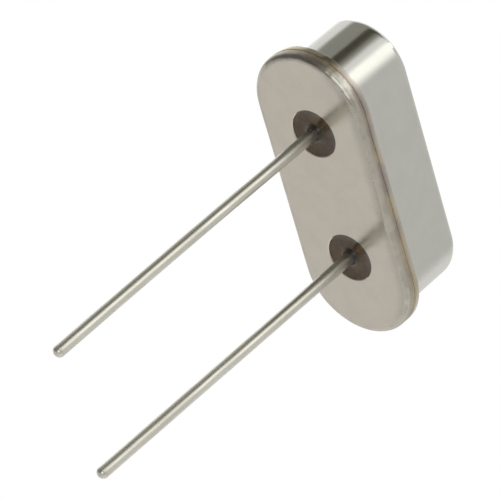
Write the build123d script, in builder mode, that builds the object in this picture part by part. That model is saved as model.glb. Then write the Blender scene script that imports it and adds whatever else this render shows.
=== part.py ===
# Low-profile quartz crystal in a welded metal can, with two wire leads.
# Millimetres. The flat outer face of the base lies on z = 0, the can rises
# along +Z and the leads hang along -Z. X runs from one lead to the other.

import os

from build123d import *

os.makedirs("parts", exist_ok=True)

# Base: an obround steel header with a weld flange and a raised middle
base_length = 10.95
base_width = 4.47
flange_thickness = 0.38
rim_radius = 0.18
flange_edge_break = 0.05
header_height = 1.0
plateau_gap = 0.15
plateau_edge_break = 0.1
hole_edge_break = 0.03

# Weld: a ridge on the base flange, melted down to a thin ring
weld_gap = 0.03
weld_inset = 0.12
weld_width = 0.12

# Can: drawn sheet with an out-turned flange
can_height = 3.4
can_sheet = 0.23
lip_width = 0.40
can_top_radius = 0.36
can_bend_radius = 0.10
lip_edge_break = 0.04

# Leads: wires that are plated where they stand out of the glass
lead_pitch = 4.88
lead_diameter = 0.43
plating_thickness = 0.005
lead_length = 13.75
right_lead_trim = 0.2
lead_tip_radius = 0.19
head_diameter = 0.8
head_thickness = 0.15
head_standoff = 0.2

# Glass seals: hollow on both faces, and drawn up along the wire
seal_diameter = 1.78
seal_recess = 0.05
seal_hollow = 0.05
seal_climb = 0.05

# Clips: bent spring strips, each with a foot, a riser and a shelf
clip_thickness = 0.1
clip_width = 1.3
clip_foot = 0.8
clip_rise = 0.55
clip_riser_run = 0.25
clip_bend_radius = 0.15
shelf_overhang = 0.35

# Blank: a thin strip of quartz with a metal film on each face, clear of the can all round
blank_end_gap = 0.845
blank_side_gap = 0.655
blank_thickness = 0.14
blank_bevel = 0.02
film_thickness = 0.01
film_length = 4.4
film_side_margin = 0.3
tab_width = 0.5
tab_end_margin = 0.1

# Adhesive: a conductive dab over each end of the blank
bond_line = 0.03
dab_radius = 0.5
dab_crown = 0.18
dab_slope = 35
dab_inset = 0.2

# Heights and places that follow from the sizes above
can_foot_z = flange_thickness + weld_gap
can_length = base_length - 2 * lip_width
can_width = base_width - 2 * lip_width
cavity_length = can_length - 2 * can_sheet
cavity_width = can_width - 2 * can_sheet
cavity_corner = can_top_radius - can_sheet
plateau_length = cavity_length - 2 * plateau_gap
plateau_width = cavity_width - 2 * plateau_gap
blank_length = cavity_length - 2 * blank_end_gap
blank_width = cavity_width - 2 * blank_side_gap
film_width = blank_width - 2 * film_side_margin
wire_radius = lead_diameter / 2 - plating_thickness
head_z = header_height + head_standoff
head_top_z = head_z + head_thickness
foot_z = head_top_z + clip_thickness / 2
shelf_z = foot_z + clip_rise
shelf_top_z = shelf_z + clip_thickness / 2
blank_z = shelf_top_z + bond_line
blank_top_z = blank_z + blank_thickness
dab_x = blank_length / 2 - dab_inset
dab_height = bond_line + blank_thickness + dab_crown
sides = {"left": -1, "right": 1}
lead_lengths = {"left": lead_length, "right": lead_length - right_lead_trim}


def upright_plane(x):
    """The XZ plane moved to x, for profiles that turn about a lead's axis."""
    return Plane(origin=(x, 0, 0), x_dir=(1, 0, 0), z_dir=(0, -1, 0))


# Base plate
with BuildPart() as base_plate:
    with BuildSketch(Plane.XY):
        SlotOverall(base_length, base_width)
    extrude(amount=flange_thickness)
    fillet(base_plate.edges().group_by(Axis.Z)[0], radius=rim_radius)
    chamfer(base_plate.edges().group_by(Axis.Z)[-1], length=flange_edge_break)
    with BuildSketch(Plane.XY.offset(flange_thickness)):
        SlotOverall(plateau_length, plateau_width)
    extrude(amount=header_height - flange_thickness)
    chamfer(base_plate.edges().group_by(Axis.Z)[-1], length=plateau_edge_break)
    with BuildSketch(Plane.XY.offset(flange_thickness)):
        SlotOverall(base_length - 2 * weld_inset, base_width - 2 * weld_inset)
        ring_inset = weld_inset + weld_width
        SlotOverall(base_length - 2 * ring_inset, base_width - 2 * ring_inset, mode=Mode.SUBTRACT)
    extrude(amount=weld_gap)
    with BuildSketch(Plane.XY):
        with GridLocations(lead_pitch, 0, 2, 1):
            Circle(seal_diameter / 2)
    extrude(amount=header_height, mode=Mode.SUBTRACT)
    seat = base_plate.faces().sort_by(Axis.Z)[0]
    chamfer([wire.edge() for wire in seat.inner_wires()], length=hole_edge_break)
base_plate.part.label = "base_plate"
export_step(base_plate.part, "parts/base_plate.step")

# Can
with BuildPart() as can:
    with BuildSketch(Plane.XY.offset(can_foot_z)):
        SlotOverall(can_length, can_width)
    extrude(amount=can_height - can_foot_z)
    offset(amount=-can_sheet, openings=can.faces().sort_by(Axis.Z)[0])
    fillet(can.edges().group_by(Axis.Z)[-1], radius=can_top_radius)
    cavity_top = can.faces().filter_by(Axis.Z).sort_by(Axis.Z)[-2]
    chamfer(cavity_top.edges(), length=cavity_corner)
    with BuildSketch(Plane.XY.offset(can_foot_z)):
        SlotOverall(base_length, base_width)
        SlotOverall(cavity_length, cavity_width, mode=Mode.SUBTRACT)
    extrude(amount=can_sheet)
    lip_top = can.faces().filter_by(Axis.Z).sort_by(Axis.Z)[1]
    fillet(lip_top.inner_wires()[0].edges(), radius=can_bend_radius)
    lip_underside = can.faces().filter_by(Axis.Z).sort_by(Axis.Z)[0]
    fillet(lip_underside.inner_wires()[0].edges(), radius=can_bend_radius + can_sheet)
    lip_top = can.faces().filter_by(Axis.Z).sort_by(Axis.Z)[1]
    chamfer(lip_top.outer_wire().edges(), length=lip_edge_break)
can.part.label = "can"
export_step(can.part, "parts/can.step")

# Leads
for side, way in sides.items():
    lead_x = way * lead_pitch / 2
    tip_z = -lead_lengths[side]
    with BuildPart() as lead:
        with BuildSketch(Plane(origin=(lead_x, 0, head_z))):
            Circle(head_diameter / 2)
        extrude(amount=head_thickness)
        with BuildSketch(Plane(origin=(lead_x, 0, -seal_climb))):
            Circle(wire_radius)
        extrude(amount=head_z + seal_climb)
        with BuildSketch(Plane(origin=(lead_x, 0, tip_z))):
            Circle(lead_diameter / 2)
        extrude(amount=-seal_climb - tip_z)
        fillet(lead.edges().group_by(Axis.Z)[0], radius=lead_tip_radius)
    lead.part.label = f"lead_{side}"
    export_step(lead.part, f"parts/lead_{side}.step")

# Glass seals
for side, way in sides.items():
    lead_x = way * lead_pitch / 2
    wall = seal_diameter / 2
    middle = (wall + wire_radius) / 2
    with BuildPart() as glass_seal:
        with BuildSketch(upright_plane(lead_x)):
            with BuildLine():
                ThreePointArc(
                    (wire_radius, -seal_climb),
                    (middle, seal_recess + seal_hollow),
                    (wall, seal_recess),
                )
                Line((wall, seal_recess), (wall, header_height - seal_recess))
                ThreePointArc(
                    (wall, header_height - seal_recess),
                    (middle, header_height - seal_recess - seal_hollow),
                    (wire_radius, header_height + seal_climb),
                )
                Line((wire_radius, header_height + seal_climb), (wire_radius, -seal_climb))
            make_face()
        revolve(axis=Axis((lead_x, 0, 0), (0, 0, 1)))
    glass_seal.part.label = f"glass_seal_{side}"
    export_step(glass_seal.part, f"parts/glass_seal_{side}.step")

# Clips
for side, way in sides.items():
    foot_x = lead_pitch / 2 + clip_foot / 2
    with BuildPart() as clip:
        with BuildSketch(Plane.XZ.offset(-clip_width / 2)):
            with BuildLine():
                strip = FilletPolyline(
                    (way * (foot_x - clip_foot), foot_z),
                    (way * foot_x, foot_z),
                    (way * (foot_x + clip_riser_run), shelf_z),
                    (way * (blank_length / 2 + shelf_overhang), shelf_z),
                    radius=clip_bend_radius,
                )
            trace(strip, line_width=clip_thickness)
        extrude(amount=clip_width)
    clip.part.label = f"clip_{side}"
    export_step(clip.part, f"parts/clip_{side}.step")

# Quartz blank
with BuildPart() as quartz_blank:
    with BuildSketch(Plane.XY.offset(blank_z)):
        Rectangle(blank_length, blank_width)
    extrude(amount=blank_thickness)
    chamfer(quartz_blank.edges().filter_by(Axis.Y), length=blank_bevel)
quartz_blank.part.label = "quartz_blank"
export_step(quartz_blank.part, "parts/quartz_blank.step")

# Metal films on the blank, each with a tab that runs out to one end
film_places = {"electrode_top": (blank_top_z, "left"), "electrode_bottom": (blank_z - film_thickness, "right")}
films = {}
for name, (film_z, side) in film_places.items():
    tab_length = blank_length / 2 - tab_end_margin
    with BuildPart() as film:
        with BuildSketch(Plane.XY.offset(film_z)):
            Rectangle(film_length, film_width)
            with Locations((sides[side] * tab_length / 2, 0)):
                Rectangle(tab_length, tab_width)
        extrude(amount=film_thickness)
    film.part.label = name
    export_step(film.part, f"parts/{name}.step")
    films[name] = film.part

# Conductive adhesive
for side, way in sides.items():
    with BuildPart() as adhesive:
        with BuildSketch(Plane(origin=(way * dab_x, 0, shelf_top_z))):
            Circle(dab_radius)
        extrude(amount=dab_height, taper=dab_slope)
        add(quartz_blank.part, mode=Mode.SUBTRACT)
        for film_part in films.values():
            add(film_part, mode=Mode.SUBTRACT)
    adhesive.part.label = f"adhesive_{side}"
    export_step(adhesive.part, f"parts/adhesive_{side}.step")
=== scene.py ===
# Looks of a small quartz crystal in a welded can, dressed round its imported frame.
# Metres throughout: sizes are written in millimetres and times MM. Only the materials' nodes work
# in millimetres, so the places, noises and depths that they take are written without MM.

import math

import bmesh
import bpy
from mathutils import Matrix, Vector, noise


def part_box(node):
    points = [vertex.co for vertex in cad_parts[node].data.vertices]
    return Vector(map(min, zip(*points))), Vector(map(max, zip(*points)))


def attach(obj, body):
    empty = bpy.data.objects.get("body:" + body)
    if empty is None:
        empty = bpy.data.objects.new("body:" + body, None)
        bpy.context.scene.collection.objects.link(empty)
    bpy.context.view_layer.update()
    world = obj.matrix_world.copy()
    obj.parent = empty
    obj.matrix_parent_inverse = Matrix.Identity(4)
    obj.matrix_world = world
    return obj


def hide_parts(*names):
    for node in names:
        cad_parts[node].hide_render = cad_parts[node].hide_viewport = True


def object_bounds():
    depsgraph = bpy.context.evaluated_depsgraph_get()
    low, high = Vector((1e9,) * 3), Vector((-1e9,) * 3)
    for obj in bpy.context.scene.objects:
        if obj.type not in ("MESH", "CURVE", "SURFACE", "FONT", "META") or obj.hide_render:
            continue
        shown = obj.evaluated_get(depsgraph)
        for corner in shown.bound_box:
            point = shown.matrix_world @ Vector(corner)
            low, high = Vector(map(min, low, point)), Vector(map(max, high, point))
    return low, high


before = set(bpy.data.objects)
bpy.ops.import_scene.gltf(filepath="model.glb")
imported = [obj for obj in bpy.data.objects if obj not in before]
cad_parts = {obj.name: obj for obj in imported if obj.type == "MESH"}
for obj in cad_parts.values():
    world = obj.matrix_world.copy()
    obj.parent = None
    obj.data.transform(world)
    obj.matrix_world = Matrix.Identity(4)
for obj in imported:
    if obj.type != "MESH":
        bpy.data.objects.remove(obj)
cad_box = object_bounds()

MM = 0.001

# Camera: its place, axes, lens and clipping distances in the part's own frame
CAMERA_AT = Vector((-72.627, -100.227, -98.285)) * MM
IMAGE_RIGHT = Vector((0.25633, -0.75284, 0.60625))
IMAGE_UP = Vector((-0.84748, 0.12658, 0.51552))
CAMERA_LENS = 338.13
CAMERA_SENSOR = 36.0
CAMERA_NEAR = 0.01
CAMERA_FAR = 10.0

# Places and overall sizes, from the frame
BASE_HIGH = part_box("base_plate")[1]
CAN_LOW, CAN_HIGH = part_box("can")
LEAD_LOW, LEAD_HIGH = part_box("lead_right")
SIDES = ("left", "right")
HALF_LENGTH = BASE_HIGH.x
HALF_WIDTH = BASE_HIGH.y
SPINE = HALF_LENGTH - HALF_WIDTH
HEADER_HEIGHT = BASE_HIGH.z
CAN_FOOT = CAN_LOW.z
CAN_TOP = CAN_HIGH.z
LEAD_AT = (LEAD_LOW.x + LEAD_HIGH.x) / 2

# Header sizes that no box gives. A wave is how far an edge is out of true, and its pitch how often.
FLANGE_THICKNESS = 0.38 * MM
RIM_RADIUS = 0.18 * MM
RIM_RUN = 0.27 * MM
RIM_WAVE = 0.007 * MM
RIM_WAVE_PITCH = 0.45 * MM
FLANGE_BREAK = 0.03 * MM
PLATEAU_BREAK = 0.1 * MM
PLATEAU_GAP = 0.15 * MM
HOLE_BREAK = 0.03 * MM
WELD_INSET = 0.12 * MM
WELD_WIDTH = 0.12 * MM

# The weld ridge's ragged outer edge: how far it spreads, how often, and the least share of that
WELD_SPREAD = 0.118 * MM
WELD_SPREAD_PITCH = 0.35 * MM
WELD_SPREAD_LEAST = 0.85

# Can sizes that no box gives
SHEET = 0.23 * MM
LIP_WIDTH = 0.4 * MM
CAN_TOP_RADIUS = 0.36 * MM
BEND_RADIUS = 0.1 * MM
LIP_BREAK = 0.04 * MM
LIP_FOOT_ROUND = 0.014 * MM
LIP_WAVE = 0.004 * MM
LIP_WAVE_PITCH = 0.6 * MM

# Lead sizes, and how far the left lead's tip is bent aside in X and Y
WIRE_RADIUS = 0.215 * MM
CORE_RADIUS = 0.21 * MM
TIP_RADIUS = 0.19 * MM
HEAD_THICKNESS = 0.15 * MM
PLATING_START = -0.05 * MM
LEFT_BOW = Vector((0.083, -0.06)) * MM

# Glass sizes that no box gives. The climb up the wire fades over the meniscus.
SEAL_RECESS = 0.05 * MM
SEAL_HOLLOW = 0.05 * MM
MENISCUS = 0.065 * MM

# Noise of the waves: its fractal increment, lacunarity and octaves
WAVE_NOISE = (0.6, 2.0, 3)

# Mesh resolution: steps round the outlines, then along the arcs and runs of the profiles
END_STEPS = 72
SIDE_STEPS = 48
ROUND_STEPS = 64
FLOOR_STEPS = 96
FILLET_STEPS = 10
CAN_ROUND_STEPS = 16
CAN_WALL_STEPS = 12
LIP_RUN_STEPS = 4
LIP_BREAK_STEPS = 6
LIP_FOOT_STEPS = 5
RIM_STEPS = 16
FLANGE_BREAK_STEPS = 5
TIP_STEPS = 12
WIRE_STEPS = 60
GLASS_FACE_STEPS = 40
GLASS_BACK_STEPS = 24
CARD_COLUMNS = 24
CARD_ROWS = 12

# Mesh finish: the flat run kept beside a round, the merging distance and the angle of a sharp edge
SUPPORT = 0.015 * MM
MERGE_DISTANCE = 1e-7
SMOOTH_ANGLE = math.radians(32)

# Metal and glass tones
NICKEL_CLEAN = (0.63, 0.625, 0.58)
NICKEL_DULL = (0.6, 0.595, 0.555)
HEADER_CLEAN = (0.65, 0.598, 0.515)
HEADER_DULL = (0.607, 0.563, 0.489)
HEADER_STRAW = (0.4, 0.34, 0.235)
HEADER_VIOLET = (0.29, 0.25, 0.214)
LIP_STRAW = (0.465, 0.398, 0.276)
LIP_VIOLET = (0.365, 0.314, 0.27)
TIN_BRIGHT = (0.72, 0.705, 0.63)
TIN_DULL = (0.6, 0.58, 0.51)
TIN_OXIDE = (0.6, 0.6, 0.575)
# Worn rim tone, which also serves as painted shade
RIM_WORN_SHADE = (0.47, 0.44, 0.385)
# Darker tone at the rim's -X end
RIM_DARK_END = (0.33, 0.3, 0.26)
# Tone of the rim's painted highlights
RIM_HIGHLIGHT = (0.74, 0.715, 0.655)
GLASS_BROWN = (0.068, 0.036, 0.008)
GLASS_DARK = (0.034, 0.017, 0.003)
GLASS_BUBBLE = (0.13, 0.088, 0.045)
# Painted shade in the glass where it meets the wire
GLASS_ROOT_SHADE = (0.016, 0.009, 0.003)

# Tones of the pieces inside the can
CLIP_BRIGHT = (0.68, 0.63, 0.52)
CLIP_DULL = (0.58, 0.53, 0.43)
FILM_BRIGHT = (0.86, 0.85, 0.82)
FILM_DULL = (0.78, 0.77, 0.74)
QUARTZ_CLEAR = (0.96, 0.97, 0.97)
QUARTZ_HAZED = (0.9, 0.93, 0.94)
RESIN_GREY = (0.33, 0.32, 0.3)
FLAKE_SILVER = (0.66, 0.65, 0.62)

# Noises are given as features per millimetre, detail and, where it isn't the usual one, roughness.
# A range is the part of a noise that is used, and a depth is that of a bump.
NOISE_ROUGHNESS = 0.55
NOISE_MIDDLE = (0.5, 0.5, 0.5)
EVEN_RANGE = (0.3, 0.7)
MOTTLE_RANGE = (0.32, 0.68)
WHOLE_RANGE = (0.0, 1.0)

# Nickel plating: its noises, the swing of the heat tint's edge in millimetres, and what the tint,
# the wear with its painted shade and the painted highlights add to the roughness
METAL = {"Metallic": 1.0}
MOTTLE_NOISE = (1.1, 5.0, 0.6)
SEAM_NOISE = (1.6, 4.0)
SEAM_SWING = 0.16
HUE_NOISE = (0.7, 2.0)
HUE_RANGE = (0.41, 0.56)
SMEAR_NOISE = (2.4, 5.0)
SMEAR_LEVELS = (0.8, 1.3)
SWELL_NOISE = (0.7, 2.0)
HEAT_ROUGHNESS = 0.12
WORN_ROUGHNESS = 0.1
HIGHLIGHT_ROUGHNESS = 0.12
DENT_DEPTH = 0.03
DRAW_STRETCH = (16.0, 16.0, 0.7)
DRAW_NOISE = (1.0, 4.0)
DRAW_DEPTH = 0.0006

# Where the tint of the weld starts and is full, in Z, and the plating's roughness and swell
CAN_HEAT = (0.78, 0.38)
CAN_ROUGHNESS = 0.12
CAN_SWELL = 0.008
HEADER_HEAT = (0.08, 0.31)
HEADER_ROUGHNESS = 0.2
HEADER_SWELL = 0.01

# The header's rim band, worn and darkened, partly as painted shade: where it starts and is full, as reach
# from the spine, and its noises
RIM_BAND_FROM = (1.95, 2.16)
SCUFF_NOISE = (3.0, 4.0)
SCUFF_SWING = 0.12
PATCH_NOISE = (0.9, 3.0)
PATCH_RANGE = (0.38, 0.58)
PATCH_LEVELS = (0.55, 1.0)
BREAK_NOISE = (3.2, 3.0)
BREAK_RANGE = (0.42, 0.56)
BREAK_LEVELS = (0.3, 1.0)
DENT_NOISE = (2.2, 1.0)
RAGGED_SCALE = 1.6
RAGGED_DETAIL = 3.0
RAGGED_AMOUNT = 0.5

# Spots of the rim in millimetres, each with the radii where it starts and where it is full: a darker patch
# at the -X end, and painted highlights
DARK_END_SPOTS = (((-5.3, 0.0, 0.2), (1.9, 0.8)),)
HIGHLIGHT_SPOTS = (((-4.48, -1.84, 0.08), (0.58, 0.24)), ((3.92, -2.08, 0.06), (0.17, 0.04)))

# The face's strip of painted shade in millimetres: its reach from the spine and its Y, where it starts and
# is full
SHADE_REACH = (1.64, 2.06)
SHADE_SIDE = (-1.0, -1.6)
SHADE_LEVEL = 0.65

# Tinned wire: its noises, and its oxide from the Z where it starts to where it is full
WIRE_STRETCH = (5.0, 5.0, 0.35)
STREAK_NOISE = (1.0, 5.0, 0.6)
STREAK_LINES = (3.0, 1.0)
STREAK_DEPTH = 0.0008
WIRE_SMEAR = (2.0, 4.0)
WIRE_ROUGHNESS = (0.27, 0.39)
OXIDE_NOISE = (1.5, 4.0)
OXIDE_SWING = 1.6
OXIDE_FROM = (-3.2, -0.2)
OXIDE_SHARE = 0.6
OXIDE_ROUGHNESS = 0.08
COAT_STRETCH = (1.4, 1.4, 0.5)
COAT_NOISE = (1.0, 2.0)
COAT_DEPTH = 0.012

# Sealing glass: its noises, its bubbles, and the painted shade at its root by its distance from the wire's
# axis
GLASS_IOR = 1.54
SMOKE_NOISE = (1.8, 4.0)
SMOKE_RANGE = (0.35, 0.65)
GLASS_SMEAR = (3.0, 4.0)
GLASS_ROUGHNESS = (0.1, 0.24)
SKIN_NOISE = (2.2, 2.0)
SKIN_DEPTH = 0.012
BUBBLE_SCALE = 11.0
BUBBLE_RANGE = (0.16, 0.08)
BUBBLE_SHARE = 0.35
BUBBLE_DEPTH = 0.002
ROOT_SHADE_FROM = (0.44, 0.24)
ROOT_ROUGHNESS = 0.14

# Strip and film: the lines' spread along X and across it, and their noises
STRIP_ALONG = 0.6
CLIP_GRAIN = 9.0
FILM_GRAIN = 4.0
STRIP_NOISE = (1.0, 5.0)
STRIP_DEPTH = 0.0006
STRIP_SMEAR = (3.0, 4.0)
STRIP_ROUGHNESS = (0.16, 0.32)

# Quartz, and adhesive with its flakes
QUARTZ = {"IOR": 1.544, "Transmission Weight": 1.0}
HAZE_NOISE = (2.0, 4.0)
QUARTZ_ROUGHNESS = (0.05, 0.18)
ETCH_NOISE = (24.0, 3.0)
ETCH_DEPTH = 0.0008
FLAKE_SCALE = 26.0
FLAKE_RANGE = (0.45, 0.2)
FLAKE_METAL = 0.8
FLAKE_DEPTH = 0.003
RESIN_ROUGHNESS = (0.6, 0.35)
LUMP_NOISE = (5.0, 4.0)
LUMP_DEPTH = 0.02

# Floor, its gap under the lead tips and the distances over which it fades, all in metres
FLOOR_GAP = 0.05 * MM
FLOOR_RADIUS = 0.6
FLOOR_FADE = (0.06, 0.55)
FLOOR_COLOR = (0.8, 0.795, 0.785)
FLOOR_ROUGHNESS = 0.9

# World and lamp: the level of plain light, and the lamp's place and size in metres and its watts
PLAIN_LEVEL = 0.7
WHITE = (1.0, 1.0, 1.0, 1.0)
LAMP_AT = (0.12, -0.1, 0.5)
LAMP_SIZE = 0.35
LAMP_POWER = 1.6

# Cards' height as a share from straight down to straight up, and the foot where they are darker
STRAIGHT_DOWN = -90.0
STRAIGHT_UP = 90.0
FOOT_SPAN = (0.2, 0.6)
FOOT_TONE = 0.74

# Cards that reflections see: azimuths and elevations in degrees round the part, the tone, the
# degrees over which the two side edges fade, and the distance in metres
CARDS = {
    "flag_grey": ((128, 215), (-72, 75), (0.34, 0.338, 0.308), (14, 14), 0.5),
    "flag_dark": ((172, 205), (2, 75), (0.082, 0.078, 0.056), (8, 16), 0.45),
    "flag_low": ((126, 170), (-72, 2), (0.23, 0.235, 0.24), (10, 18), 0.45),
    "flag_left": ((86, 140), (-72, -4), (0.32, 0.33, 0.34), (8, 14), 0.46),
    "card_side": ((240, 372), (-72, 75), (0.68, 0.68, 0.67), (20, 50), 0.5),
    "card_far": ((340, 470), (-5, 75), (0.83, 0.82, 0.8), (40, 40), 0.52),
    "flag_far": ((386, 424), (2, 75), (0.68, 0.68, 0.66), (16, 10), 0.46),
    "softbox_far": ((58, 112), (29, 56), (1.62, 1.62, 1.6), (12, 26), 0.47),
    "card_face": ((30, 96), (-60, -14), (0.95, 0.95, 0.95), (14, 6), 0.44),
    "flag_front": ((276, 396), (-72, -2), (1.08, 1.08, 1.05), (50, 4), 0.47),
    "card_top": ((240, 440), (52, 88), (0.66, 0.66, 0.64), (20, 30), 0.49),
    "softbox": ((220, 268), (24, 62), (1.65, 1.65, 1.59), (12, 28), 0.48),
    "softbox_low": ((208, 252), (-28, 2), (1.45, 1.45, 1.42), (18, 20), 0.48),
    "flag_camera": ((196, 272), (-46, -28), (0.5, 0.5, 0.49), (14, 26), 0.44),
    "softbox_under": ((196, 270), (-87, -44), (3.4, 3.4, 3.3), (26, 34), 0.46),
    "flag_under": ((0, 360), (-89, -66), (0.5, 0.5, 0.47), (0.1, 0.1), 0.49),
}


def arc(centre, radius, start, end, steps=FILLET_STEPS):
    """Points of a profile's arc, from the angle start to the angle end in degrees."""
    points = []
    for i in range(steps + 1):
        angle = math.radians(start + (end - start) * i / steps)
        points.append((centre[0] + radius * math.cos(angle), centre[1] + radius * math.sin(angle)))
    return points


def line(start, end, steps):
    """Points of a profile's straight run, without its two ends."""
    return [
        (start[0] + (end[0] - start[0]) * i / steps, start[1] + (end[1] - start[1]) * i / steps)
        for i in range(1, steps)
    ]


def through_three(first, second, third, steps):
    """Points of the arc from the first point through the second to the third."""
    (ax, ay), (bx, by), (cx, cy) = first, second, third
    d = 2 * (ax * (by - cy) + bx * (cy - ay) + cx * (ay - by))
    a2, b2, c2 = ax * ax + ay * ay, bx * bx + by * by, cx * cx + cy * cy
    ux = (a2 * (by - cy) + b2 * (cy - ay) + c2 * (ay - by)) / d
    uy = (a2 * (cx - bx) + b2 * (ax - cx) + c2 * (bx - ax)) / d
    start = math.degrees(math.atan2(ay - uy, ax - ux))
    end = math.degrees(math.atan2(cy - uy, cx - ux))
    through = math.degrees(math.atan2(by - uy, bx - ux))
    if not min(start, end) <= through <= max(start, end):
        end += 360 if end < start else -360
    return arc((ux, uy), math.hypot(ax - ux, ay - uy), start, end, steps)


def obround():
    """The outline's stations: each is a point of the spine and a direction away from it."""
    stations = []
    for side in (1, -1):
        turn = 0 if side == 1 else math.pi
        for i in range(END_STEPS):
            angle = turn - math.pi / 2 + math.pi * i / END_STEPS
            stations.append((side * SPINE, math.cos(angle), math.sin(angle)))
        for i in range(SIDE_STEPS):
            stations.append((side * SPINE * (1 - 2 * i / SIDE_STEPS), 0.0, float(side)))
    return stations


def upright_axis(name):
    """The axis of a turned CAD node, half its width, and its lowest and highest z."""
    low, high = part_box(name)
    return ((low.x + high.x) / 2, 0.0), (high.x - low.x) / 2, low.z, high.z


def ring(bm, stations, reach, z):
    """A closed ring of vertices at the distance reach from the spine."""
    return [bm.verts.new((x + reach * dx, reach * dy, z)) for x, dx, dy in stations]


def circle(bm, centre, radius, z, steps=ROUND_STEPS):
    """A closed ring of vertices round an upright axis through centre."""
    vertices = []
    for i in range(steps):
        angle = 2 * math.pi * i / steps
        across = (centre[0] + radius * math.cos(angle), centre[1] + radius * math.sin(angle))
        vertices.append(bm.verts.new((*across, z)))
    return vertices


def bridge(bm, first, second):
    """Faces between two rings with the same number of vertices."""
    count = len(first)
    for i in range(count):
        j = (i + 1) % count
        bm.faces.new((first[i], first[j], second[j], second[i]))


def join_rings(bm, rings):
    """Faces between each ring and the next."""
    for lower, upper in zip(rings, rings[1:]):
        bridge(bm, lower, upper)
    return rings


def sweep(bm, profile, stations):
    """Rings along a profile of (reach, z) points, joined by faces."""
    return join_rings(bm, [ring(bm, stations, reach, z) for reach, z in profile])


def press_in(edge, stations, depth, pitch, least=0.0):
    """Moves a ring's vertices towards the spine by an uneven share of the depth, from the least up."""
    for vert, (x, dx, dy) in zip(edge, stations):
        share = 0.5 + 0.5 * noise.fractal(vert.co / pitch, *WAVE_NOISE)
        inward = depth * (least + (1.0 - least) * min(1.0, max(0.0, share)))
        vert.co.x -= inward * dx
        vert.co.y -= inward * dy


def loop_edges(bm, loop):
    """The edges of a closed ring, made where they are missing."""
    edges = []
    for i, vert in enumerate(loop):
        after = loop[(i + 1) % len(loop)]
        edges.append(bm.edges.get((vert, after)) or bm.edges.new((vert, after)))
    return edges


def fill(bm, loops):
    """A flat face inside the first loop, with the other loops as its holes."""
    edges = [edge for loop in loops for edge in loop_edges(bm, loop)]
    bmesh.ops.triangle_fill(bm, edges=edges, use_beauty=True)


def add_object(name, bm, material):
    """Turns a bmesh into an object of the scene with its material."""
    mesh = bpy.data.meshes.new(name)
    bm.to_mesh(mesh)
    bm.free()
    mesh.materials.append(material)
    made = bpy.data.objects.new(name, mesh)
    bpy.context.scene.collection.objects.link(made)
    return made


def finish_piece(name, bm, material, node):
    """Turns a bmesh into a smooth piece that stands for a CAD node."""
    bmesh.ops.remove_doubles(bm, verts=bm.verts, dist=MERGE_DISTANCE)
    bmesh.ops.recalc_face_normals(bm, faces=bm.faces)
    piece = add_object(name, bm, material)
    piece.data.shade_smooth()
    piece.data.set_sharp_from_angle(angle=SMOOTH_ANGLE)
    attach(piece, "root")
    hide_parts(node)
    return piece


def turned_piece(name, profile, centre, material, node):
    """A piece turned round an upright axis, from a profile of (radius, z) points."""
    bm = bmesh.new()
    rings = join_rings(bm, [circle(bm, centre, radius, z) for radius, z in profile])
    if profile[0] != profile[-1]:
        bm.faces.new(rings[0])
        bm.faces.new(rings[-1])
    return finish_piece(name, bm, material, node)


def make_can(material):
    """The drawn can: its outside from the top down to the lip, then its inside back up."""
    wall = HALF_WIDTH - LIP_WIDTH
    cavity = wall - SHEET
    cavity_top = CAN_TOP - SHEET
    corner = CAN_TOP_RADIUS - SHEET
    shoulder = (wall - CAN_TOP_RADIUS, CAN_TOP - CAN_TOP_RADIUS)
    lip_top = CAN_FOOT + SHEET
    bend = (wall + BEND_RADIUS, lip_top + BEND_RADIUS)
    rim = (HALF_WIDTH - LIP_BREAK, lip_top - LIP_BREAK)
    foot = (HALF_WIDTH - LIP_FOOT_ROUND, CAN_FOOT + LIP_FOOT_ROUND)
    under_radius = BEND_RADIUS + SHEET
    profile = [(0.0, CAN_TOP), (shoulder[0] - SUPPORT, CAN_TOP)]
    profile += arc(shoulder, CAN_TOP_RADIUS, 90, 0, CAN_ROUND_STEPS)
    profile += line((wall, shoulder[1]), (wall, bend[1]), CAN_WALL_STEPS)
    profile += arc(bend, BEND_RADIUS, 180, 270)
    profile += line((bend[0], lip_top), (rim[0], lip_top), LIP_RUN_STEPS)
    profile += arc(rim, LIP_BREAK, 90, 0, LIP_BREAK_STEPS)
    profile += arc(foot, LIP_FOOT_ROUND, 0, -90, LIP_FOOT_STEPS)
    profile += arc((cavity + under_radius, CAN_FOOT + under_radius), under_radius, 270, 180)
    profile += [(cavity, cavity_top - corner), (cavity - corner, cavity_top), (0.0, cavity_top)]
    bm = bmesh.new()
    stations = obround()
    rings = sweep(bm, profile, stations)
    for (reach, z), edge in zip(profile, rings):
        if reach > HALF_WIDTH - LIP_BREAK - SUPPORT and z < lip_top + SUPPORT:
            press_in(edge, stations, LIP_WAVE, LIP_WAVE_PITCH)
    finish_piece("drawn_can", bm, material, "can")


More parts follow.
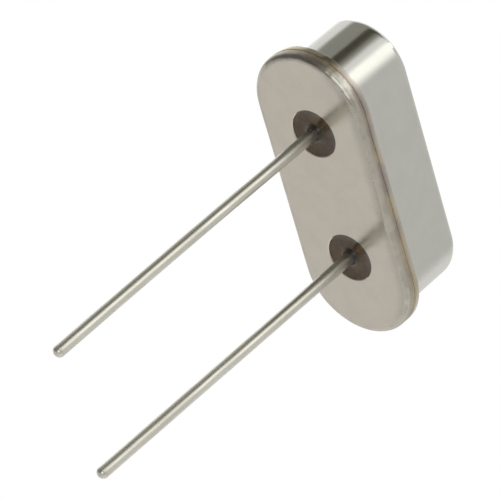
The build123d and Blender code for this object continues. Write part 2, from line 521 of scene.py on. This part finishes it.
def make_base(material):
    """The header: flat face with two holes, rolled rim, flange, weld ridge and plateau."""
    plateau = HALF_WIDTH - LIP_WIDTH - SHEET - PLATEAU_GAP
    weld_out = HALF_WIDTH - WELD_INSET
    weld_in = weld_out - WELD_WIDTH
    flange_edge = (HALF_WIDTH - FLANGE_BREAK, FLANGE_THICKNESS - FLANGE_BREAK)
    quarter = arc((0.0, 0.0), 1.0, 270, 360, RIM_STEPS)
    profile = [(HALF_WIDTH - RIM_RUN - SUPPORT, 0.0)]
    profile += [(HALF_WIDTH - RIM_RUN * (1 - x), RIM_RADIUS * (1 + z)) for x, z in quarter]
    profile += arc(flange_edge, FLANGE_BREAK, 0, 90, FLANGE_BREAK_STEPS)
    ridge_start = len(profile)
    profile += [(weld_out, FLANGE_THICKNESS), (weld_out, CAN_FOOT)]
    ridge_end = len(profile)
    profile += [(weld_in, CAN_FOOT), (weld_in, FLANGE_THICKNESS)]
    profile += [(plateau, FLANGE_THICKNESS), (plateau, HEADER_HEIGHT - PLATEAU_BREAK)]
    profile += [(plateau - PLATEAU_BREAK, HEADER_HEIGHT)]
    bm = bmesh.new()
    stations = obround()
    rings = sweep(bm, profile, stations)
    # The first two rings bound the flat face, and stay true
    for rolled in rings[2:ridge_start]:
        press_in(rolled, stations, RIM_WAVE, RIM_WAVE_PITCH)
    for melted in rings[ridge_start:ridge_end]:
        press_in(melted, stations, -WELD_SPREAD, WELD_SPREAD_PITCH, WELD_SPREAD_LEAST)
    face_loops = [rings[0]]
    plateau_loops = [rings[-1]]
    for side in SIDES:
        centre, radius, *_ = upright_axis(f"glass_seal_{side}")
        mouth = circle(bm, centre, radius + HOLE_BREAK, 0.0)
        neck = circle(bm, centre, radius, HOLE_BREAK)
        inner = circle(bm, centre, radius, HEADER_HEIGHT)
        join_rings(bm, [mouth, neck, inner])
        face_loops.append(mouth)
        plateau_loops.append(inner)
    fill(bm, face_loops)
    fill(bm, plateau_loops)
    finish_piece("stamped_header", bm, material, "base_plate")


def make_lead(side, material):
    """A lead: rounded tip, plated wire, bare core in the glass and a flat head."""
    centre, head_radius, tip_z, top_z = upright_axis(f"lead_{side}")
    head_z = top_z - HEAD_THICKNESS
    tip = (WIRE_RADIUS - TIP_RADIUS, tip_z + TIP_RADIUS)
    profile = [(tip[0] - SUPPORT, tip_z)]
    profile += arc(tip, TIP_RADIUS, 270, 360, TIP_STEPS)
    profile += line((WIRE_RADIUS, tip[1]), (WIRE_RADIUS, PLATING_START), WIRE_STEPS)
    profile += [(WIRE_RADIUS, PLATING_START), (CORE_RADIUS, PLATING_START)]
    profile += [(CORE_RADIUS, head_z), (head_radius, head_z), (head_radius, top_z)]
    wire = turned_piece(f"wire_{side}", profile, centre, material, f"lead_{side}")
    if side == "left":
        for vert in wire.data.vertices:
            share = min(0.0, vert.co.z / -tip_z) ** 2
            vert.co.x += LEFT_BOW.x * share
            vert.co.y += LEFT_BOW.y * share


def make_seal(side, material):
    """A glass seal, hollow on both faces and drawn up along the wire."""
    centre, wall, low_z, high_z = upright_axis(f"glass_seal_{side}")
    middle = (wall + CORE_RADIUS) / 2
    rest = SEAL_RECESS + SEAL_HOLLOW / 2
    back = HEADER_HEIGHT - SEAL_RECESS
    outer = []
    face = (CORE_RADIUS, rest), (middle, SEAL_RECESS + SEAL_HOLLOW), (wall, SEAL_RECESS)
    for radius, z in through_three(*face, GLASS_FACE_STEPS):
        climb = (rest - low_z) * math.exp((CORE_RADIUS - radius) / MENISCUS)
        outer.append((radius, z - climb))
    inside = (wall, back), (middle, back - SEAL_HOLLOW), (CORE_RADIUS, high_z)
    profile = outer + through_three(*inside, GLASS_BACK_STEPS) + [outer[0]]
    turned_piece(f"glass_bead_{side}", profile, centre, material, f"glass_seal_{side}")


def new_material(name, settings=None):
    """A material, its node tree and its shader, whose own sockets get the settings."""
    material = bpy.data.materials.new(name)
    material.use_nodes = True
    tree = material.node_tree
    shader = tree.nodes["Principled BSDF"]
    for socket, value in (settings or {}).items():
        shader.inputs[socket].default_value = value
    return material, tree, shader


def node(tree, kind, inputs, **settings):
    """A shader node with its settings, and its inputs given as values or as other nodes' sockets."""
    made = tree.nodes.new("ShaderNode" + kind)
    for name, value in settings.items():
        setattr(made, name, value)
    for name, value in inputs.items():
        if isinstance(value, bpy.types.NodeSocket):
            tree.links.new(value, made.inputs[name])
        else:
            made.inputs[name].default_value = value
    return made


def maths(tree, operation, *values):
    """The result of a Math node, from values or sockets."""
    return node(tree, "Math", dict(enumerate(values)), operation=operation).outputs[0]


def times(tree, first, second):
    """One value times another."""
    return maths(tree, "MULTIPLY", first, second)


def plus(tree, value, factor, base):
    """A value times a factor, plus a base."""
    return maths(tree, "MULTIPLY_ADD", value, factor, base)


def larger(tree, first, second):
    """The larger of two values."""
    return maths(tree, "MAXIMUM", first, second)


def vectors(tree, operation, inputs, output):
    """The named result of a VectorMath node."""
    return node(tree, "VectorMath", inputs, operation=operation).outputs[output]


def place_in_mm(tree, stretch=(1.0, 1.0, 1.0)):
    """The part's own coordinates in millimetres, times a stretch along each axis."""
    place = node(tree, "TexCoord", {}).outputs["Object"]
    return node(tree, "Mapping", {"Vector": place, "Scale": Vector(stretch) / MM}).outputs["Vector"]


def axes_of(tree, place):
    """A place's X, Y and Z."""
    return node(tree, "SeparateXYZ", {"Vector": place}).outputs


def height_in_mm(tree):
    """A point's Z in millimetres."""
    return axes_of(tree, place_in_mm(tree))["Z"]


def beside_in_mm(tree, half_span, joined):
    """How far a point lies from upright axes at half_span each side, or from the plane that joins them."""
    place = axes_of(tree, place_in_mm(tree))
    beside = maths(tree, "SUBTRACT", maths(tree, "ABSOLUTE", place["X"]), half_span / MM)
    if joined:
        beside = larger(tree, beside, 0.0)
    away = node(tree, "CombineXYZ", {"X": beside, "Y": place["Y"]}).outputs["Vector"]
    return vectors(tree, "LENGTH", {0: away}, "Value")


def reach_in_mm(tree):
    """How far a point lies from the header's spine, in millimetres."""
    return beside_in_mm(tree, SPINE, joined=True)


def from_wire_in_mm(tree):
    """How far a point lies from the nearer lead's axis, in millimetres."""
    return beside_in_mm(tree, LEAD_AT, joined=False)


def cloud(tree, place, scale, detail, roughness=NOISE_ROUGHNESS):
    """Soft noise between 0 and 1, with scale as its features per millimetre."""
    inputs = {"Vector": place, "Scale": scale, "Detail": detail, "Roughness": roughness}
    return node(tree, "TexNoise", inputs).outputs["Fac"]


def cells(tree, place, scale):
    """How far a place lies from the nearest of scattered points, as many per millimetre as scale."""
    return node(tree, "TexVoronoi", {"Vector": place, "Scale": scale}).outputs["Distance"]


def jitter(tree, place, scale, amount):
    """A place moved unevenly, by up to half the amount each way."""
    noises = {"Vector": place, "Scale": scale, "Detail": RAGGED_DETAIL}
    clouds = node(tree, "TexNoise", noises).outputs["Color"]
    centred = vectors(tree, "SUBTRACT", {0: clouds, 1: NOISE_MIDDLE}, "Vector")
    shift = vectors(tree, "SCALE", {0: centred, "Scale": amount}, "Vector")
    return vectors(tree, "ADD", {0: place, 1: shift}, "Vector")


def uneven(tree, value, place, grain, swing):
    """A value moved by noise, by up to half the swing each way."""
    return maths(tree, "ADD", plus(tree, cloud(tree, place, *grain), swing, -swing / 2), value)


def remap(tree, value, source, target=WHOLE_RANGE, smooth=False):
    """A value taken from one range to another, and kept inside it."""
    inputs = {"Value": value, "From Min": source[0], "From Max": source[1]}
    inputs.update({"To Min": target[0], "To Max": target[1]})
    kind = "SMOOTHSTEP" if smooth else "LINEAR"
    return node(tree, "MapRange", inputs, interpolation_type=kind).outputs["Result"]


def blend(tree, factor, first, second):
    """A mix of two colours, each a tuple or a socket."""
    inputs = {"Factor": factor}
    for index, color in ((6, first), (7, second)):
        inputs[index] = color if isinstance(color, bpy.types.NodeSocket) else (*color, 1.0)
    return node(tree, "Mix", inputs, data_type="RGBA").outputs[2]


def paint(tree, shader, color, roughness):
    """Links a colour and a roughness to the shader."""
    tree.links.new(color, shader.inputs["Base Color"])
    tree.links.new(roughness, shader.inputs["Roughness"])


def relief(tree, shader, height, depth, below=None):
    """Bump from a height between 0 and 1 that stands for a depth in millimetres."""
    inputs = {"Height": height, "Distance": depth * MM}
    if below is not None:
        inputs["Normal"] = below
    normal = node(tree, "Bump", inputs).outputs["Normal"]
    tree.links.new(normal, shader.inputs["Normal"])
    return normal


def spots(tree, place, marks):
    """How far a place lies inside any of the marks, from 0 to 1."""
    level = 0.0
    for spot, radii in marks:
        gap = vectors(tree, "DISTANCE", {0: place, 1: spot}, "Value")
        level = larger(tree, remap(tree, gap, radii, smooth=True), level)
    return level


def rim_masks(tree, place):
    """Where the rim is worn or the face and rim carry painted shade, where the rim's -X end is darker,
    where its painted highlights lie, and the height of its dents, each between 0 and 1.
    """
    reach = uneven(tree, reach_in_mm(tree), place, SCUFF_NOISE, SCUFF_SWING)
    # The rim band: worn in patches, and partly painted shade
    edge = remap(tree, reach, RIM_BAND_FROM, smooth=True)
    patches = remap(tree, cloud(tree, place, *PATCH_NOISE), PATCH_RANGE, PATCH_LEVELS)
    # A strip of painted shade on the face along its -Y edge, joined into the rim band's mask
    strip = remap(tree, reach, SHADE_REACH, smooth=True)
    flank = remap(tree, axes_of(tree, place)["Y"], SHADE_SIDE, smooth=True)
    painted_shade = times(tree, times(tree, strip, flank), SHADE_LEVEL)
    worn_and_shade = larger(tree, times(tree, edge, patches), painted_shade)
    ragged = jitter(tree, place, RAGGED_SCALE, RAGGED_AMOUNT)
    # A darker patch of the rim band at its -X end
    dark_end = times(tree, worn_and_shade, spots(tree, ragged, DARK_END_SPOTS))
    # Painted highlights at the listed spots on the rim, broken up by noise
    highlight_breaks = remap(tree, cloud(tree, place, *BREAK_NOISE), BREAK_RANGE, BREAK_LEVELS)
    painted_highlight = times(tree, times(tree, edge, highlight_breaks), spots(tree, ragged, HIGHLIGHT_SPOTS))
    rolled = remap(tree, reach_in_mm(tree), RIM_BAND_FROM, smooth=True)
    return worn_and_shade, dark_end, painted_highlight, times(tree, cloud(tree, place, *DENT_NOISE), rolled)


def plating(name, clean, dull, heated, heat_from, roughness, swell, rim=False):
    """Nickel plating: mottled, finely drawn, tinted by the weld and, for the header, worn at its rim, with
    painted shade on the rim and face, a darker -X end and painted highlights on the rim.
    """
    material, tree, shader = new_material(name, METAL)
    place = place_in_mm(tree)
    mottle = remap(tree, cloud(tree, place, *MOTTLE_NOISE), MOTTLE_RANGE)
    color = blend(tree, mottle, clean, dull)
    seam = uneven(tree, height_in_mm(tree), place, SEAM_NOISE, SEAM_SWING)
    heat = remap(tree, seam, heat_from, smooth=True)
    hue = remap(tree, cloud(tree, place, *HUE_NOISE), HUE_RANGE)
    smear = remap(tree, cloud(tree, place, *SMEAR_NOISE), EVEN_RANGE, SMEAR_LEVELS)
    rough = plus(tree, heat, HEAT_ROUGHNESS, times(tree, smear, roughness))
    if rim:
        worn_and_shade, dark_end, painted_highlight, dents = rim_masks(tree, place)
        # The rim band's worn tone, partly painted shade, then its darker -X end
        color = blend(tree, dark_end, blend(tree, worn_and_shade, color, RIM_WORN_SHADE), RIM_DARK_END)
        rough = plus(tree, worn_and_shade, WORN_ROUGHNESS, rough)
    color = blend(tree, heat, color, blend(tree, hue, *heated))
    if rim:
        # Painted highlights on the rim, laid over the weld tint
        color = blend(tree, painted_highlight, color, RIM_HIGHLIGHT)
        rough = plus(tree, painted_highlight, HIGHLIGHT_ROUGHNESS, rough)
    paint(tree, shader, color, rough)
    waves = relief(tree, shader, cloud(tree, place, *SWELL_NOISE), swell)
    if rim:
        waves = relief(tree, shader, dents, DENT_DEPTH, waves)
    lines = cloud(tree, place_in_mm(tree, DRAW_STRETCH), *DRAW_NOISE)
    relief(tree, shader, lines, DRAW_DEPTH, waves)
    return material


def tinned_wire(name):
    """Hot-tinned wire: lengthwise streaks, a slightly uneven coat, and dull oxide near the glass."""
    material, tree, shader = new_material(name, METAL)
    place = place_in_mm(tree)
    along = place_in_mm(tree, WIRE_STRETCH)
    streaks = remap(tree, cloud(tree, along, *STREAK_NOISE), MOTTLE_RANGE)
    color = blend(tree, streaks, TIN_BRIGHT, TIN_DULL)
    height = uneven(tree, height_in_mm(tree), place, OXIDE_NOISE, OXIDE_SWING)
    oxide = remap(tree, height, OXIDE_FROM, smooth=True)
    color = blend(tree, times(tree, oxide, OXIDE_SHARE), color, TIN_OXIDE)
    smear = remap(tree, cloud(tree, along, *WIRE_SMEAR), EVEN_RANGE, WIRE_ROUGHNESS)
    paint(tree, shader, color, plus(tree, oxide, OXIDE_ROUGHNESS, smear))
    coat = relief(tree, shader, cloud(tree, place_in_mm(tree, COAT_STRETCH), *COAT_NOISE), COAT_DEPTH)
    relief(tree, shader, cloud(tree, along, *STREAK_LINES), STREAK_DEPTH, coat)
    return material


def sintered_glass(name):
    """Dark brown sealing glass: opaque, glossy, clouded, with fine bubbles under the surface and painted
    shade where it meets the wire.
    """
    material, tree, shader = new_material(name, {"IOR": GLASS_IOR})
    place = place_in_mm(tree)
    smoke = remap(tree, cloud(tree, place, *SMOKE_NOISE), SMOKE_RANGE)
    color = blend(tree, smoke, GLASS_BROWN, GLASS_DARK)
    bubbles = remap(tree, cells(tree, place, BUBBLE_SCALE), BUBBLE_RANGE)
    color = blend(tree, times(tree, bubbles, BUBBLE_SHARE), color, GLASS_BUBBLE)
    # Painted shade in the glass where it meets the wire
    root = remap(tree, from_wire_in_mm(tree), ROOT_SHADE_FROM, smooth=True)
    color = blend(tree, root, color, GLASS_ROOT_SHADE)
    smear = remap(tree, cloud(tree, place, *GLASS_SMEAR), EVEN_RANGE, GLASS_ROUGHNESS)
    paint(tree, shader, color, plus(tree, root, ROOT_ROUGHNESS, smear))
    skin = relief(tree, shader, cloud(tree, place, *SKIN_NOISE), SKIN_DEPTH)
    relief(tree, shader, bubbles, BUBBLE_DEPTH, skin)
    return material


def rolled_strip(name, bright, dull, grain):
    """Rolled metal strip or evaporated film: fine lines along X over a mottled tone."""
    material, tree, shader = new_material(name, METAL)
    along = place_in_mm(tree, (STRIP_ALONG, grain, grain))
    lines = remap(tree, cloud(tree, along, *STRIP_NOISE), EVEN_RANGE)
    smear = cloud(tree, place_in_mm(tree), *STRIP_SMEAR)
    rough = remap(tree, smear, EVEN_RANGE, STRIP_ROUGHNESS)
    paint(tree, shader, blend(tree, lines, bright, dull), rough)
    relief(tree, shader, lines, STRIP_DEPTH)
    return material


def etched_quartz(name):
    """Clear quartz with lapped and etched faces."""
    material, tree, shader = new_material(name, QUARTZ)
    place = place_in_mm(tree)
    haze = remap(tree, cloud(tree, place, *HAZE_NOISE), EVEN_RANGE)
    rough = remap(tree, haze, WHOLE_RANGE, QUARTZ_ROUGHNESS)
    paint(tree, shader, blend(tree, haze, QUARTZ_CLEAR, QUARTZ_HAZED), rough)
    relief(tree, shader, cloud(tree, place, *ETCH_NOISE), ETCH_DEPTH)
    return material


def silver_epoxy(name):
    """Conductive adhesive: grey resin full of silver flakes."""
    material, tree, shader = new_material(name)
    place = place_in_mm(tree)
    shine = remap(tree, cells(tree, place, FLAKE_SCALE), FLAKE_RANGE)
    rough = remap(tree, shine, WHOLE_RANGE, RESIN_ROUGHNESS)
    paint(tree, shader, blend(tree, shine, RESIN_GREY, FLAKE_SILVER), rough)
    tree.links.new(times(tree, shine, FLAKE_METAL), shader.inputs["Metallic"])
    lumps = relief(tree, shader, cloud(tree, place, *LUMP_NOISE), LUMP_DEPTH)
    relief(tree, shader, shine, FLAKE_DEPTH, lumps)
    return material


def dress(name, material):
    """Gives a carried-over CAD node its material."""
    for slot in bpy.data.objects[name].material_slots:
        slot.material = material


def mix_surface(tree, factor, first, second):
    """Makes the surface a mix of two shaders' outputs."""
    mix = node(tree, "MixShader", {0: factor, 1: first, 2: second})
    tree.links.new(mix.outputs[0], tree.nodes["Material Output"].inputs["Surface"])


def make_card(name, azimuths, elevations, tone, soft, distance):
    """A curved card that only reflections see, with soft side edges and a darker foot."""
    width = azimuths[1] - azimuths[0]
    height = elevations[1] - elevations[0]
    bm = bmesh.new()
    layer = bm.loops.layers.uv.new("span")
    grid = {}
    for i in range(CARD_COLUMNS + 1):
        azimuth = math.radians(azimuths[0] + width * i / CARD_COLUMNS)
        for k in range(CARD_ROWS + 1):
            elevation = math.radians(elevations[0] + height * k / CARD_ROWS)
            level = math.cos(elevation)
            way = Vector((level * math.cos(azimuth), level * math.sin(azimuth), math.sin(elevation)))
            grid[i, k] = bm.verts.new(way * distance)
    for i in range(CARD_COLUMNS):
        for k in range(CARD_ROWS):
            corners = ((i, k), (i + 1, k), (i + 1, k + 1), (i, k + 1))
            face = bm.faces.new([grid[corner] for corner in corners])
            for loop, (column, row) in zip(face.loops, corners):
                rise = elevations[0] + height * row / CARD_ROWS
                share = (rise - STRAIGHT_DOWN) / (STRAIGHT_UP - STRAIGHT_DOWN)
                loop[layer].uv = (column / CARD_COLUMNS, share)
    material, tree, shader = new_material(name)
    tree.nodes.remove(shader)
    span = axes_of(tree, node(tree, "UVMap", {}, uv_map="span").outputs["UV"])
    left = remap(tree, span["X"], (0.0, soft[0] / width), smooth=True)
    right = remap(tree, span["X"], (1.0, 1.0 - soft[1] / width), smooth=True)
    foot = remap(tree, span["Y"], FOOT_SPAN, (FOOT_TONE, 1.0), smooth=True)
    glow = node(tree, "Emission", {"Color": (*tone, 1.0), "Strength": foot})
    clear = node(tree, "BsdfTransparent", {})
    mix_surface(tree, times(tree, left, right), clear.outputs[0], glow.outputs[0])
    card = add_object(name, bm, material)
    card.visible_camera = False
    card.visible_diffuse = False
    card.visible_shadow = False


def make_floor():
    """A pale floor under the lead tips, seen from above only, that fades with distance."""
    bm = bmesh.new()
    bm.faces.new(circle(bm, (0.0, 0.0), FLOOR_RADIUS, cad_box[0].z - FLOOR_GAP, FLOOR_STEPS))
    matt = {"Base Color": (*FLOOR_COLOR, 1.0), "Roughness": FLOOR_ROUGHNESS, "Specular IOR Level": 0.0}
    material, tree, shader = new_material("floor", matt)
    under = node(tree, "NewGeometry", {}).outputs["Backfacing"]
    place = node(tree, "TexCoord", {}).outputs["Object"]
    fade = remap(tree, vectors(tree, "LENGTH", {0: place}, "Value"), FLOOR_FADE, smooth=True)
    clear = node(tree, "BsdfTransparent", {})
    mix_surface(tree, larger(tree, under, fade), shader.outputs[0], clear.outputs[0])
    floor = add_object("floor", bm, material)
    floor.visible_glossy = False


def make_world():
    """White for the camera, in reflections and through glass, and a plain level for diffuse light."""
    world = bpy.data.worlds.new("studio")
    bpy.context.scene.world = world
    world.use_nodes = True
    tree = world.node_tree
    path = node(tree, "LightPath", {}).outputs
    seen = larger(tree, path["Is Camera Ray"], path["Is Glossy Ray"])
    seen = larger(tree, seen, path["Is Transmission Ray"])
    sky = tree.nodes["Background"]
    sky.inputs["Color"].default_value = WHITE
    tree.links.new(remap(tree, seen, WHOLE_RANGE, (PLAIN_LEVEL, 1.0)), sky.inputs["Strength"])


def make_lamp():
    """A soft square lamp that looks at the part."""
    data = bpy.data.lights.new("top_lamp", "AREA")
    data.shape = "SQUARE"
    data.size = LAMP_SIZE
    data.energy = LAMP_POWER
    lamp = bpy.data.objects.new("top_lamp", data)
    lamp.location = LAMP_AT
    lamp.rotation_euler = (-Vector(LAMP_AT)).to_track_quat("-Z", "Y").to_euler()
    bpy.context.scene.collection.objects.link(lamp)


def make_camera():
    """The camera at the photograph's viewing angle."""
    data = bpy.data.cameras.new("camera")
    data.lens = CAMERA_LENS
    data.sensor_width = CAMERA_SENSOR
    data.clip_start = CAMERA_NEAR
    data.clip_end = CAMERA_FAR
    camera = bpy.data.objects.new("camera", data)
    right = IMAGE_RIGHT.normalized()
    back = right.cross(IMAGE_UP).normalized()
    up = back.cross(right)
    camera.matrix_world = Matrix.Translation(CAMERA_AT) @ Matrix((right, up, back)).transposed().to_4x4()
    bpy.context.scene.collection.objects.link(camera)
    bpy.context.scene.camera = camera


make_camera()
make_world()
make_lamp()
make_floor()
for card_name, card_values in CARDS.items():
    make_card(card_name, *card_values)

can_tint = (LIP_VIOLET, LIP_STRAW)
can_metal = plating("can_nickel", NICKEL_CLEAN, NICKEL_DULL, can_tint, CAN_HEAT, CAN_ROUGHNESS, CAN_SWELL)
header_tint = (HEADER_VIOLET, HEADER_STRAW)
header_finish = (HEADER_HEAT, HEADER_ROUGHNESS, HEADER_SWELL)
base_metal = plating("header_nickel", HEADER_CLEAN, HEADER_DULL, header_tint, *header_finish, rim=True)
wire_metal = tinned_wire("wire_tin")
bead_glass = sintered_glass("bead_glass")
make_can(can_metal)
make_base(base_metal)
for side in SIDES:
    make_lead(side, wire_metal)
    make_seal(side, bead_glass)

spring = rolled_strip("clip_strip", CLIP_BRIGHT, CLIP_DULL, CLIP_GRAIN)
silver = rolled_strip("silver_film", FILM_BRIGHT, FILM_DULL, FILM_GRAIN)
epoxy = silver_epoxy("silver_epoxy")
dress("quartz_blank", etched_quartz("etched_quartz"))
for film in ("electrode_top", "electrode_bottom"):
    dress(film, silver)
for side in SIDES:
    dress(f"clip_{side}", spring)
    dress(f"adhesive_{side}", epoxy)

view = bpy.context.scene.view_settings
view.view_transform = "Standard"
